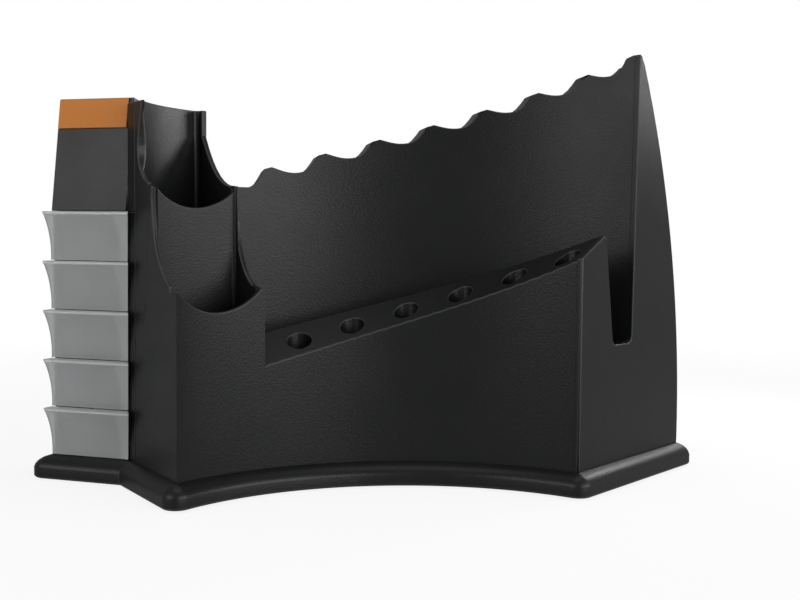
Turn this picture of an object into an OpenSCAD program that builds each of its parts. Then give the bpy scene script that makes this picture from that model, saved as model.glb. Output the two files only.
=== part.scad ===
// Desk organiser for brushes and hobby tools. Its body is a sector of a ring, hollow towards the user.
// From right to left it carries a ramped shelf with brush holes, a scalloped wall that the handles
// lean on, two stepped pots, and a tower of small clear drawers that faces front left.
// Plan angles are measured from straight back, positive to the right, about the ring's centre.

/* [Ring] */
// Radius of the concave front face
front_r = 120; // [118:0.5:122]
// Radius of the brush wall's front face at its foot
wall_r = 166; // [165:0.5:168]
// Radius of the back of the body near the floor
back_r = 217.5; // [216:0.5:219]
// Direction of the right-hand end
end_a = 47.5; // [47:0.25:48.5]
// Distance of the right-hand end inside the radial line
end_in = 5; // [4:0.5:6]
// Thickness of the moulded walls
wall = 2.5; // [2.2:0.1:2.8]

/* [Plinth] */
// How far the plinth stands out from the body
plinth_out = 6.5; // [5:0.5:7]
// How much further it stands out at the left-hand end
plinth_more = 2; // [0:0.5:2]
// Height of the plinth's upright edge
plinth_edge = 5.6; // [5:0.2:6]
// Height of the plinth where it meets the body
plinth_top = 11.2; // [11:0.1:11.4]
// Top of the plinth's floor
floor_z = 4; // [3.8:0.1:4.2]
// How far the rubber feet stand below the plinth
foot_drop = 0.8; // [0.6:0.1:1]

/* [Brush shelf] */
// Depth of the shelf from front to back
shelf_d = 18; // [17.5:0.5:18.5]
// Height of the shelf's front edge straight back from the ring's centre
shelf_z = 70.1; // [69:0.1:71]
// Rise of the shelf per degree to the right
shelf_climb = 0.635; // [0.62:0.005:0.65]
// How much that rise grows per degree
shelf_curl = 0.0029; // [0.0025:0.0001:0.0032]
// Rise of the shelf per unit of its depth
shelf_rise = 0.505; // [0.48:0.005:0.53]
// Diameter of the brush holes
hole_d = 11; // [9:0.5:12]
// Number of brush holes
hole_n = 6; // [4:1:6]
// Direction of the first brush hole
hole_a = -15.3; // [-16:0.1:-15]
// Angle between brush holes
hole_step = 11.02; // [10.8:0.02:11.1]

/* [Brush wall] */
// Height of the first peak of the scalloped top
peak_z = 145.5; // [144:0.1:146]
// Direction of the first peak
peak_a = -15.4; // [-15.8:0.1:-15]
// Angle between the first peaks
peak_step = 9.167; // [9.1:0.005:9.2]
// Rise from the first peak to the next
peak_rise = 7.2; // [7:0.05:7.3]
// Depth of the scallops towards the right
scallop_h = 5.05; // [4:0.05:6]
// How much deeper the first whole one is
scallop_more = 0.95; // [0:0.05:1.2]
// Radius of the wall's bowed back
bow_r = 371; // [360:1:380]

/* [Pots] */
// Direction of the pots' right-hand side
pot_a = -24.8; // [-25:0.1:-24.6]
// Radius of the middle of the wall between the pots
divider_r = 145.6; // [145:0.2:146.2]
// Height of the front pot's corners
pot_z = 90.5; // [88:0.5:92]
// Height of the rear pot's corners
pot_rear_z = 135; // [134:0.5:136]
// Depth of the dip in each pot's front edge
dip = 10; // [8:0.5:11]
// Direction of the strip that closes the pots on the left
strip_a = -22.8; // [-23:0.1:-22.6]
// Distance of that strip from the ring's centre
strip_in = 49.2; // [49:0.1:49.5]
// Thickness of that strip
strip_t = 1.8; // [1.6:0.1:2.2]
// Rounding of the pots' inner corners on the right
pot_round = 2; // [1.5:0.5:3]

/* [Tower] */
// Direction in which the drawers close
tower_a = 27.6; // [27.4:0.1:27.8]
// Distance of the drawer fronts from the ring's centre
face_s = 67; // [66.8:0.1:67.2]
// Distance of the tower's left-hand side from the ring's centre
tower_left = 199.6; // [198:0.2:200]
// Distance of the tower's right-hand side from the ring's centre
tower_right = 153.5; // [153.2:0.1:153.8]
// Distance of the tower's back from the ring's centre
tower_back = 114; // [113:0.5:115]
// Height of the strip and the rear pot
tower_top = 171.4; // [170:0.2:173]
// Height of the hood over the drawers
hood_top = 174.6; // [173.4:0.2:175]
// How far the tower's upper face leans back
face_lean = 7.5; // [5:0.5:9]

/* [Drawers] */
// Number of drawers
drawer_n = 5; // [5:1:5]
// Height from one drawer to the next
drawer_pitch = 22.36; // [22.3:0.02:22.4]
// Height of a drawer's front
drawer_h = 22.1; // [21:0.1:22.1]
// Radius of the hollow drawer front
front_curve = 33; // [32:0.5:36]
// Radius of the rim along its upper edge
lip_r = 0.8; // [0.6:0.1:1]

/* [Hidden] */
$fn = 96;

moulded = "#2a2c2f";
frosted = "#9aa0a4";
gap = 0.2;
seam = 0.02;
far = 420;
top_z = 200;
turn = tower_a - strip_a;
foot_z = foot_drop;

function polar(r, a) = [r * sin(a), r * cos(a)];
function tower_pt(v, s) = [v * cos(tower_a) + s * sin(tower_a), s * cos(tower_a) - v * sin(tower_a)];
function strip_pt(t) = [t * sin(strip_a) - strip_in * cos(strip_a),
                        t * cos(strip_a) + strip_in * sin(strip_a)];
function strip_out(t, g) = strip_pt(t) + g * [-cos(strip_a), sin(strip_a)];
function strip_cross(s, g) = (s + (strip_in + g) * sin(turn)) / cos(turn);
function end_out(t, g) = [t * sin(end_a) + (g - end_in) * cos(end_a),
                          t * cos(end_a) - (g - end_in) * sin(end_a)];
function strip_at_s(s) = strip_cross(s, 0);
function strip_at_v(v) = -(v + strip_in * cos(turn)) / sin(turn);
function strip_s(t) = t * cos(turn) - strip_in * sin(turn);

function back_at(z) = back_r - bow_r + sqrt(bow_r * bow_r - (z - 20) * (z - 20));
function front_at(z) = wall_r + wall_lean * (z - floor_z);

// Scalloped top, by the number of peaks from the first one: each bite falls gently to its lowest point,
// then rises steeply to a short flat peak
function bite_form(f) = f < bite_low ? sin(90 * f / bite_low)
                      : f < bite_end ? cos(90 * pow((f - bite_low) / (bite_end - bite_low), 1.15)) : 0;
function bite(u) = -(scallop_h + scallop_more * pow(0.55, floor(u))) * bite_form(u - floor(u));
function wave_a(u) = peak_a + peak_step * u - 0.00936 * u * u * u;
function wave_z(u) = peak_z + peak_rise * u + 0.045 * u * u + bite(u);

// Height of the shelf's front edge, and of the middle of a brush hole
function ramp_z(a) = shelf_z + shelf_climb * a + shelf_curl * a * a;
function hole_z(k) = ramp_z(hole_a + k * hole_step) + shelf_rise * (hole_r - front_r);

// Corners of the body's plan
a_pt = strip_pt(sqrt(front_r * front_r - strip_in * strip_in));
b_pt = [sqrt(front_r * front_r - end_in * end_in) * sin(end_a) - end_in * cos(end_a),
        sqrt(front_r * front_r - end_in * end_in) * cos(end_a) + end_in * sin(end_a)];
c_pt = [sqrt(back_r * back_r - end_in * end_in) * sin(end_a) - end_in * cos(end_a),
        sqrt(back_r * back_r - end_in * end_in) * cos(end_a) + end_in * sin(end_a)];
notch_pt = strip_pt(strip_at_s(face_s));
left_pt = tower_pt(-tower_left, face_s);
rear_left_pt = tower_pt(-tower_left, tower_back);
join_v = -sqrt(back_r * back_r - tower_back * tower_back);
join_pt = tower_pt(join_v, tower_back);
front_left = atan2(a_pt[0], a_pt[1]);
front_right = atan2(b_pt[0], b_pt[1]);
back_right = atan2(c_pt[0], c_pt[1]);
back_left = atan2(join_pt[0], join_pt[1]);

// The part's origin lies under the middle of its box
mid_x = (left_pt[0] + c_pt[0] - plinth_more * cos(tower_a)) / 2;
mid_y = (a_pt[1] + back_r) / 2;

// Drawer levels and places
drawer_z = plinth_top + 0.3;
casing_top = drawer_z + drawer_n * drawer_pitch - 0.3;
casing_s = face_s + 2.5;
bay_right = -(tower_right + 7.3);
bay_left = -(tower_left - wall);
guide_t = 1.7;
ledge_w = 2;
ledge_t = 1.2;
box_right = bay_right - guide_t - 0.6;
box_left = bay_left + guide_t + 0.6;
box_back = tower_back - wall - 3.5;
box_t = 1.4;
box_h = 17;
sheet_t = 1.8;
hood_fall = 22;
front_right_v = -159.5;
front_splay = 0.62;
function front_end(s) = front_right_v + front_splay * (face_s - s);

// Brush holes
hole_r = front_r + 9.3;
tube_t = 1.8;
tube_l = 20;

// Shape of the brush wall
wall_lean = 0.018;
skin = wall + gap;
shell_top = 193;
bite_low = 0.56;
bite_end = 0.845;
wave_n = 14;
first_u = -0.44;
last_u = 7.12;
trough_z = 65;
trough_x = 114;
trough_slope = 16.7;

// Shape of the pots
pot_floor = 12;
side_c = [-15.2, 105.4];
side_r = 89;
front_dip_a = -36;
rear_dip_a = -33.75;
dip_r = 29;

// Fixings under the plinth
screw_r = 1.4;
head_r = 3;
head_z = 2.6;
screw_top = 6.3;
post_r = 3.6;
post_h = 6;
foot_r = 6;
front_posts = [polar(front_r + wall + 3, -9), polar(front_r + wall + 3, 32)];
rear_posts = [polar(wall_r + wall + 3, 2), polar(wall_r + wall + 3, 32), polar(back_r - wall - 3, 16)];
pad_screws = [tower_pt(-178, 80), tower_pt(-178, 100), polar(133, -35), polar(158, -33)];
feet = [polar(128, -41), polar(129, 38), polar(206, 40), polar(206, 3),
        tower_pt(-190, 104), tower_pt(-190, 76)];

module place() {
  translate([-mid_x, -mid_y, 0])
    children();
}

module in_tower() {
  rotate([0, 0, -tower_a])
    children();
}

// A profile drawn in distance and height, swept sideways from one place to another
module sweep(from, to) {
  translate([from, 0, 0])
    rotate([90, 0, 90])
      linear_extrude(to - from)
        children();
}

module rise(from, to) {
  translate([0, 0, from])
    linear_extrude(to - from)
      children();
}

module annulus(r0, r1) {
  difference() {
    circle(r1, $fn = 360);
    circle(r0, $fn = 360);
  }
}

// Everything on the body's side of the right-hand end, held back by a distance
module before_end(back) {
  rotate(-end_a)
    translate([-end_in - back - far, -far / 4])
      square(far);
}

// Everything to the right of the pots, and everything to the left of that plane
module beyond_pots(off) {
  rotate(-pot_a)
    translate([off, -far / 4])
      square(far);
}

module before_pots(off) {
  rotate(-pot_a)
    translate([-off - far, -far / 4])
      square(far);
}

// Everything on the body's side of the strip
module behind_strip(in) {
  rotate(-strip_a)
    translate([in - strip_in, -far / 4])
      square(far);
}

// The room that the tower takes in plan, with a margin
module tower_room(off) {
  rotate(-tower_a)
    translate([off - tower_right - far, tower_back + off - far])
      square(far);
}

// Plan of the whole body, grown by a margin
module body_plan(grow) {
  difference() {
    intersection() {
      polygon([strip_out(40, grow), strip_out(strip_cross(face_s - grow, grow), grow),
               tower_pt(-tower_left - grow, face_s - grow), tower_pt(-tower_left - grow, far),
               end_out(far, grow), end_out(40, grow)]);
      union() {
        circle(back_r + grow, $fn = 360);
        rotate(-tower_a)
          translate([-far, 0])
            square([far - 120, tower_back + grow]);
      }
    }
    circle(front_r - grow, $fn = 360);
  }
}

// Plinth: a stepped edge that runs round the whole plan, and the floor inside it
function corner(p, d, from, to, n) =
  [for (k = [0:n]) let (q = from + (to - from) * k / n) p + d * [cos(q), sin(q)]];
function left_out(d) = plinth_more * (d - gap) / (plinth_out - gap) * [-cos(tower_a), sin(tower_a)];
function edge_loop(d) = concat(
  [for (k = [1:47]) polar(front_r - d, front_left + (front_right - front_left) * k / 48)],
  corner(b_pt, d, 270 - front_right, 360 - end_a, 8),
  corner(c_pt, d, -end_a, 90 - back_right, 8),
  [for (k = [1:41]) polar(back_r + d, back_right + (back_left - back_right) * k / 42)],
  [tower_pt(-sqrt(pow(back_r + d, 2) - pow(tower_back + d, 2)), tower_back + d)],
  corner(rear_left_pt + left_out(d), d, 90 - tower_a, 180 - tower_a, 8),
  corner(left_pt + left_out(d), d, 180 - tower_a, 270 - tower_a, 8),
  [strip_out(strip_cross(face_s - d, d), d)],
  corner(a_pt, d, 180 - strip_a, 270 - front_left, 8));

module base_plinth() {
  section = [[gap, foot_z], [plinth_out - 0.8, foot_z], [plinth_out, foot_z + 0.8],
             [plinth_out, plinth_edge], [plinth_out - 0.5, plinth_edge + 1.5],
             [plinth_out - 1.6, plinth_edge + 3], [plinth_out - 3.4, plinth_edge + 4.4], [gap, plinth_top]];
  n = len(edge_loop(gap));
  m = len(section);
  color(moulded) place()
    polyhedron(
      points = [for (c = section) for (p = edge_loop(c[0])) [p[0], p[1], c[1]]],
      faces = [for (k = [0:m - 1]) for (i = [0:n - 1])
               [k * n + i, ((k + 1) % m) * n + i, ((k + 1) % m) * n + (i + 1) % n, k * n + (i + 1) % n]]);
}

module base_floor() {
  color(moulded) place()
    difference() {
      rise(foot_z, floor_z)
        body_plan(gap / 2);
      for (p = concat(front_posts, rear_posts, pad_screws))
        translate([p[0], p[1], 0]) {
          cylinder(r = head_r + 0.3, h = head_z);
          cylinder(r = screw_r + 0.3, h = floor_z + 1);
        }
      for (p = feet)
        translate([p[0], p[1], 0])
          cylinder(r = foot_r + 0.2, h = foot_z + 1.2);
    }
}

// Everything above the shelf's winding ramp, lowered by a distance
module above_shelf(drop) {
  r = [100, 160];
  a = [for (q = [-34:3:59]) q];
  n = len(a);
  low = [for (q = a) for (p = r) concat(polar(p, q), ramp_z(q) + shelf_rise * (p - front_r) - drop)];
  high = [for (q = a) for (p = r) concat(polar(p, q), top_z)];
  polyhedron(
    points = concat(low, high),
    faces = concat(
      [for (i = [0:n - 2]) [2 * i, 2 * i + 2, 2 * i + 1]],
      [for (i = [0:n - 2]) [2 * i + 1, 2 * i + 2, 2 * i + 3]],
      [for (i = [0:n - 2]) [2 * n + 2 * i, 2 * n + 2 * i + 1, 2 * n + 2 * i + 3, 2 * n + 2 * i + 2]],
      [for (i = [0:n - 2]) [2 * i, 2 * n + 2 * i, 2 * n + 2 * i + 2, 2 * i + 2]],
      [for (i = [0:n - 2]) [2 * i + 1, 2 * i + 3, 2 * n + 2 * i + 3, 2 * n + 2 * i + 1]],
      [[0, 1, 2 * n + 1, 2 * n], [2 * n - 2, 4 * n - 2, 4 * n - 1, 2 * n - 1]]));
}

module housing_plan(r0, r1) {
  intersection() {
    annulus(r0, r1);
    beyond_pots(seam);
    before_end(wall + seam);
  }
}

module radial_rib(a, t, r0, r1) {
  rotate(-a)
    translate([-t / 2, r0])
      square([t, r1 - r0]);
}

module screw_pilots(places) {
  for (p = places)
    translate([p[0], p[1], floor_z - 1])
      cylinder(r = screw_r + 0.05, h = post_h);
}

module screw_posts(places) {
  for (p = places)
    translate([p[0], p[1], floor_z])
      cylinder(r = post_r, h = post_h);
}

// Wall under the shelf: front skin, rear skin and the ribs between them
module front_housing() {
  shelf_r = front_r + shelf_d;
  color(moulded) place()
    difference() {
      union() {
        rise(floor_z, 140)
          intersection() {
            housing_plan(front_r, shelf_r + wall + 0.5);
            union() {
              annulus(front_r, front_r + wall);
              annulus(shelf_r + 0.5, shelf_r + wall + 0.5);
              for (a = [-9.9, 12.3, 34.4])
                radial_rib(a, 2, front_r + 1, shelf_r + 1);
              difference() {
                annulus(front_r, shelf_r + wall);
                beyond_pots(wall + seam);
              }
              difference() {
                annulus(front_r, shelf_r + wall);
                before_end(wall + 1.8);
              }
            }
          }
        screw_posts(front_posts);
      }
      above_shelf(0);
      intersection() {
        rise(floor_z, 160)
          annulus(front_r + wall, shelf_r + 0.5);
        above_shelf(3.2);
      }
      screw_pilots(front_posts);
    }
}

module brush_shelf() {
  inner = front_r + wall + gap;
  outer = front_r + shelf_d + 0.3;
  color(moulded) place()
    difference() {
      intersection() {
        rise(20, 140)
          housing_plan(inner, outer);
        union() {
          above_shelf(3);
          for (k = [0:hole_n - 1])
            translate(polar(hole_r, hole_a + k * hole_step))
              translate([0, 0, hole_z(k) - tube_l])
                cylinder(r = hole_d / 2 + tube_t, h = tube_l + 8);
        }
      }
      above_shelf(0);
      for (k = [0:hole_n - 1])
        translate(polar(hole_r, hole_a + k * hole_step))
          cylinder(r = hole_d / 2, h = 160);
    }
}

// Sloping floor of the trough behind the shelf, on three legs
module trough_slab(from, to) {
  translate([trough_x, 0, trough_z])
    rotate([0, -trough_slope, 0])
      translate([-300, 0, from])
        cube([400, 300, to - from]);
}

module trough_floor() {
  inner = front_r + shelf_d + wall + 0.5 + gap;
  outer = wall_r - 0.3;
  color(moulded) place()
    difference() {
      intersection() {
        rise(floor_z, 100)
          housing_plan(inner, outer);
        union() {
          trough_slab(-wall, 0);
          rise(floor_z, 100)
            for (a = [-2, 20, 42])
              radial_rib(a, 2.5, inner - 1, outer + 1);
        }
      }
      trough_slab(0, 120);
    }
}

module end_profile() {
  f = sqrt(front_r * front_r - end_in * end_in);
  d = shelf_d + wall - 0.9;
  z = ramp_z(front_right);
  peak = wave_z(7);
  polygon(concat([[f, floor_z], [f, z], [f + d, z + shelf_rise * d], [f + d + 1.9, z + shelf_rise * d - 1.7],
                  [145.6, 88], [149, trough_z + 2.6], [149.9, trough_z + 0.8], [151.6, trough_z],
                  [164.8, trough_z], [166.4, trough_z + 0.8], [front_at(68) + 0.1, 68],
                  [front_at(peak), peak - 0.4], [front_at(peak) + 0.7, peak],
                  [front_at(peak) + 2, peak - 0.4]],
                 [for (h = [194:-10:14]) [back_at(h) + 0.3, h]], [[back_at(floor_z), floor_z]]));
}

module end_panel() {
  color(moulded) place()
    rotate([0, 0, -end_a])
      sweep(-end_in - wall, -end_in)
        end_profile();
}

// Scalloped ramp that cuts the top of the brush wall
module above_wave(drop) {
  x = [for (u = [first_u:1 / wave_n:last_u]) (wall_r + 2) * sin(wave_a(u))];
  z = [for (u = [first_u:1 / wave_n:last_u]) wave_z(u)];
  translate([0, far, -drop])
    rotate([90, 0, 0])
      linear_extrude(far)
        polygon(concat([[-far, z[0]]], [for (i = [0:len(x) - 1]) [x[i], z[i]]],
                       [[far, z[len(z) - 1]], [far, 400], [-far, 400]]));
}

module wall_profile(front, back) {
  intersection() {
    polygon([[front_at(floor_z) + front, floor_z], [front_at(top_z) + front, top_z], [far, top_z],
             [far, floor_z]]);
    translate([back_r - bow_r, 20])
      circle(bow_r - back, $fn = 720);
  }
}

module wall_plan(left, right) {
  intersection() {
    beyond_pots(left);
    before_end(right);
    circle(back_r + 20);
  }
}

module rear_wall() {
  color(moulded) place()
    difference() {
      union() {
        intersection() {
          rotate_extrude($fn = 360)
            difference() {
              wall_profile(0, 0);
              wall_profile(wall, -20);
            }
          rise(floor_z, top_z)
            wall_plan(seam, wall + seam);
        }
        screw_posts([rear_posts[0], rear_posts[1]]);
      }
      above_wave(0);
      screw_pilots(rear_posts);
    }
}

// Bowed back and top of the brush wall, hollow from below
module rear_shell() {
  color(moulded) place()
    difference() {
      union() {
        difference() {
          intersection() {
            rotate_extrude($fn = 360)
              wall_profile(skin, 0);
            rise(floor_z, shell_top)
              wall_plan(seam, wall + seam);
          }
          difference() {
            intersection() {
              rotate_extrude($fn = 360)
                wall_profile(skin - 1, wall);
              rise(floor_z - 1, shell_top)
                wall_plan(seam + wall, -10);
            }
            above_wave(3);
          }
        }
        screw_posts([rear_posts[2]]);
      }
      above_wave(0);
      screw_pilots(rear_posts);
    }
}

// Rims of the pots, each drawn in distance and height
module right_rim() {
  polygon(concat([[front_r - 4, pot_z]],
                 [for (q = [0:6:90])
                  [front_r + 0.3 + 25.3 * pow(sin(q), 0.9), pot_rear_z - 45 * pow(cos(q), 0.9)]],
                 [for (r = [148:4:180]) [r, pot_rear_z + 0.3 + 24 * pow((r - 148) / 32.3, 2.25)]],
                 [[180.4, 160], [180.6, 260], [front_r - 4, 260]]));
}

module strip_rim() {
  polygon(concat([for (q = [0:6:90])
                  [107.4 + 31.2 * pow(sin(q), 0.9), pot_rear_z - 44.6 * pow(cos(q), 0.9)]],
                 [for (q = [6:6:90]) [139 + 16.2 * sin(q), pot_rear_z + 15.8 - 15.6 * cos(q)]],
                 [[155.1, 152.5], [154.7, 155], [154.1, 158], [153.3, 161], [152.3, 164.5], [150.2, 171]],
                 [[149, 260], [107.4, 260]]));
}

// The rims cut the pots' rounded corners too, but not the ends of the wall between the pots
module beside_divider(from, to) {
  difference() {
    children();
    translate([from, 0])
      square([to - from, 2 * top_z]);
  }
}

// Inside of a pot: its corners on the strip's side are tight, those on the right a little rounder
module pot_room(r0, r1, in) {
  intersection() {
    annulus(r0, r1);
    behind_strip(in);
    before_pots(wall);
    translate(side_c)
      circle(side_r, $fn = 180);
  }
}

module rounded(r) {
  offset(r = r, $fn = 48)
    offset(delta = -r)
      children();
}

module pot_pocket(r0, r1) {
  intersection() {
    rounded(1)
      pot_room(r0, r1, strip_t);
    rounded(pot_round)
      pot_room(r0, r1, -20);
  }
}

module radial_hole(a, r0, r1, z, r) {
  rotate([0, 0, -a])
    translate([0, r1, z])
      rotate([90, 0, 0])
        cylinder(r = r, h = r1 - r0);
}

module pot_block() {
  color(moulded) place()
    difference() {
      intersection() {
        rotate_extrude($fn = 360)
          intersection() {
            translate([front_r, floor_z])
              square([150, tower_top - floor_z]);
            translate([back_r - bow_r, 20])
              circle(bow_r, $fn = 720);
          }
        rise(floor_z, tower_top)
          difference() {
            intersection() {
              circle(back_r + 20);
              behind_strip(0);
              before_pots(0);
            }
            tower_room(seam);
          }
      }
      rise(pot_floor, top_z)
        pot_pocket(front_r + wall, divider_r - wall / 2);
      rise(pot_floor, top_z)
        pot_pocket(divider_r + wall / 2, far);
      rise(pot_z, top_z)
        intersection() {
          annulus(front_r - 2, front_r + wall + 2);
          before_pots(-1);
        }
      rise(pot_rear_z, top_z)
        intersection() {
          annulus(front_r - 2, divider_r + 3);
          before_pots(-1);
        }
      rotate([0, 0, -pot_a]) {
        sweep(-wall - 0.05, 1)
          right_rim();
        sweep(-wall - pot_round - 1, 1)
          beside_divider(134, 147.5)
            right_rim();
      }
      rotate([0, 0, -strip_a]) {
        sweep(-strip_in - 1, strip_t + 0.05 - strip_in)
          strip_rim();
        sweep(-strip_in - 1, strip_t + 4 - strip_in)
          beside_divider(130.5, 139)
            strip_rim();
      }
      radial_hole(front_dip_a, front_r - 6, front_r + wall + 3, pot_z - dip + dip_r, dip_r);
      radial_hole(rear_dip_a, divider_r - 3, divider_r + 3, pot_rear_z - dip + dip_r, dip_r);
      intersection() {
        rotate_extrude($fn = 360)
          intersection() {
            translate([190, 0])
              square([60, 158]);
            translate([back_r - bow_r, 20])
              circle(bow_r - wall, $fn = 720);
          }
        rise(floor_z - 1, 158)
          difference() {
            before_pots(wall);
            tower_room(seam + wall);
          }
      }
      screw_pilots([pad_screws[2], pad_screws[3]]);
    }
}

// Casing of the drawers: two sides, a floor and the wedge that meets the pots
module wedge_plan() {
  polygon([[-tower_right, strip_s(strip_at_v(-tower_right))], [bay_right, strip_s(strip_at_v(bay_right))],
           [bay_right, tower_back], [-tower_right, tower_back]]);
}

module drawer_tower() {
  color(moulded) place() in_tower()
    difference() {
      union() {
        rise(floor_z, casing_top)
          difference() {
            wedge_plan();
            offset(delta = -2.4)
              wedge_plan();
          }
        rise(floor_z, casing_top)
          translate([-tower_left, casing_s])
            square([wall, tower_back - casing_s]);
        rise(floor_z, floor_z + wall)
          translate([-tower_left + 1, casing_s])
            square([tower_left - 1 + bay_right + 1, tower_back - casing_s - wall - gap]);
      }
      for (p = [[-178, 80], [-178, 100]])
        translate([p[0], p[1], 0])
          cylinder(r = screw_r + 0.05, h = 20);
    }
}

module tower_back_panel() {
  color(moulded) place() in_tower()
    rise(floor_z, casing_top)
      translate([bay_left + gap, tower_back - wall])
        square([bay_right - bay_left - 2 * gap, wall]);
}

// The hood's top falls from its front edge to the height of the strip
module cap_profile(in) {
  polygon([[face_s + 0.5 + in, casing_top + gap], [face_s + 0.5 + face_lean + in, hood_top - in],
           [face_s + hood_fall, tower_top - in], [tower_back - in, tower_top - in],
           [tower_back - in, casing_top + gap]]);
}

module tower_cap() {
  color(moulded) place() in_tower()
    difference() {
      union() {
        sweep(-tower_left, bay_right)
          cap_profile(0);
        rise(casing_top + gap, tower_top)
          wedge_plan();
      }
      translate([0, 0, -0.1])
        sweep(-tower_left + wall, bay_right - wall / 2)
          cap_profile(wall);
    }
}

module badge() {
  h = hood_top - casing_top - gap;
  color("#bc702c") place() in_tower()
    translate([0, face_s + 0.5, casing_top + gap])
      rotate([-atan(face_lean / h), 0, 0])
        translate([-tower_left + 0.7, -1, h - 13.4])
          cube([tower_left + bay_right - 3, 0.8, 13.4]);
}

// Ledges that carry the drawers, one strip on each side of the bay
module guide(wall_v, side) {
  rise(floor_z + wall + gap, casing_top - gap)
    translate([min(wall_v, wall_v + side * guide_t), casing_s + 1])
      square([guide_t, tower_back - wall - casing_s - 2]);
  for (k = [0:drawer_n - 1])
    rise(drawer_z + k * drawer_pitch - ledge_t, drawer_z + k * drawer_pitch)
      translate([min(wall_v, wall_v + side * (guide_t + ledge_w)), casing_s + 1])
        square([guide_t + ledge_w, tower_back - wall - casing_s - 2]);
}

module drawer_guide_left() {
  color(moulded) place() in_tower()
    guide(bay_left + gap / 2, 1);
}

module drawer_guide_right() {
  color(moulded) place() in_tower()
    guide(bay_right - gap / 2, -1);
}

// Drawer: an open tray behind a hollow front that flares out to a lip
module front_sheet(r0, r1) {
  difference() {
    intersection() {
      translate([face_s - 14, 0])
        square([30, drawer_h]);
      translate([face_s - front_curve, 2])
        circle(r1, $fn = 180);
    }
    translate([face_s - front_curve, 2])
      circle(r0, $fn = 180);
  }
}

module side_sheet() {
  difference() {
    translate([face_s - 8, 0.4])
      square([box_back - face_s + 8, box_h]);
    translate([face_s - front_curve, 2])
      circle(front_curve + sheet_t / 2, $fn = 180);
  }
}

module drawer(k) {
  lip_s = face_s - front_curve + sqrt(pow(front_curve + sheet_t / 2, 2) - pow(drawer_h - lip_r - 2, 2));
  color(frosted) place()
    translate([0, 0, drawer_z + k * drawer_pitch]) {
      in_tower() {
        difference() {
          sweep(-tower_left, -tower_right + 6)
            union() {
              front_sheet(front_curve, front_curve + sheet_t);
              translate([lip_s - 0.5, drawer_h - lip_r])
                circle(lip_r, $fn = 48);
            }
          rise(-5, 40)
            polygon([[front_end(40), 40], [front_end(90), 90], [-100, 90], [-100, 40]]);
        }
        sweep(box_left, box_left + box_t)
          side_sheet();
        sweep(box_right - box_t, box_right)
          side_sheet();
        rise(0.4, 0.4 + box_t)
          translate([box_left, face_s + 1])
            square([box_right - box_left, box_back - face_s - 1]);
        rise(0.4, 0.4 + box_h)
          translate([box_left, box_back - box_t])
            square([box_right - box_left, box_t]);
      }
    }
}

module drawer_1() {
  drawer(0);
}

module drawer_2() {
  drawer(1);
}

module drawer_3() {
  drawer(2);
}

module drawer_4() {
  drawer(3);
}

module drawer_5() {
  drawer(4);
}

module rubber_feet() {
  color("#161616") place()
    for (p = feet)
      translate([p[0], p[1], 0])
        cylinder(r = foot_r, h = foot_z + 1.1);
}

module base_screws() {
  color("#9a9a9a") place()
    for (p = concat(front_posts, rear_posts, pad_screws))
      translate([p[0], p[1], foot_z + 0.1]) {
        cylinder(r = head_r, h = head_z - foot_z - 0.2);
        cylinder(r = screw_r, h = screw_top - foot_z - 0.1);
      }
}

base_plinth();
base_floor();
front_housing();
brush_shelf();
trough_floor();
end_panel();
rear_wall();
rear_shell();
pot_block();
drawer_tower();
tower_cap();
tower_back_panel();
drawer_guide_left();
drawer_guide_right();
drawer_1();
drawer_2();
drawer_3();
drawer_4();
drawer_5();
badge();
rubber_feet();
base_screws();
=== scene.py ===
"""Looks of a desk organiser for brushes and hobby tools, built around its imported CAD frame.

The moulded pieces are softened copies of the CAD nodes, with rounded edges and a fine moulded grain.
The drawers are frosted clear plastic, and the feet and screws come from Geometry Nodes.
"""

import math

import bmesh
import bpy
import numpy as np
from mathutils import Matrix, Vector


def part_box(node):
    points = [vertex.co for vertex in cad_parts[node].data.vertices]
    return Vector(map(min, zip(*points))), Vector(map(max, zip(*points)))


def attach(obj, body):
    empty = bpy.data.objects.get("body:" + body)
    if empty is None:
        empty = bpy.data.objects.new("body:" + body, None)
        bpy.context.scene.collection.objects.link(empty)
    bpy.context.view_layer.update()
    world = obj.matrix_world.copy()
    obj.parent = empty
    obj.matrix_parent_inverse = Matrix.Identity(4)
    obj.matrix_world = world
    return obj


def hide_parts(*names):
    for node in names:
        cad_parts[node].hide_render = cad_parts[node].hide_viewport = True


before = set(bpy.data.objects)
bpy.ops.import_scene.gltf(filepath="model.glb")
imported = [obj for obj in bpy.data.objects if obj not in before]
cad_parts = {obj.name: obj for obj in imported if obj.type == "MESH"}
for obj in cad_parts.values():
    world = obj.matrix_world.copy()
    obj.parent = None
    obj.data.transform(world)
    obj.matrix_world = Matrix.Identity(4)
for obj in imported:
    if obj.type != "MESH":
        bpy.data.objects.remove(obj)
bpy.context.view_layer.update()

bl_info = {
    "name": "Brush rack finish",
    "version": (1, 0, 0),
    "blender": (4, 5, 0),
    "location": "View3D > Sidebar > Brush rack",
    "description": "Finishes a desk organiser for brushes and small tools",
    "category": "Object",
}

HOUSING = "housing"

# How copies of the CAD meshes are merged and rounded. Edges stay sharp on a face less than ROOM radii wide
MERGE = 2e-5
FLAT_ANGLE = math.radians(0.3)
EDGE_ANGLE = math.radians(28)
KNIFE_ANGLE = math.radians(150)
CURVE_ANGLE = math.radians(9)
WIDEST = 0.003
ROOM = 1.6
SEGMENTS = 2
LABEL_RADIUS = 0.0003
MAIN, ROUNDED = 0, 1
# Face attribute that marks the rounded edges, the mask for the highlight painted on them
EDGE_HIGHLIGHT = "edge"

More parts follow.
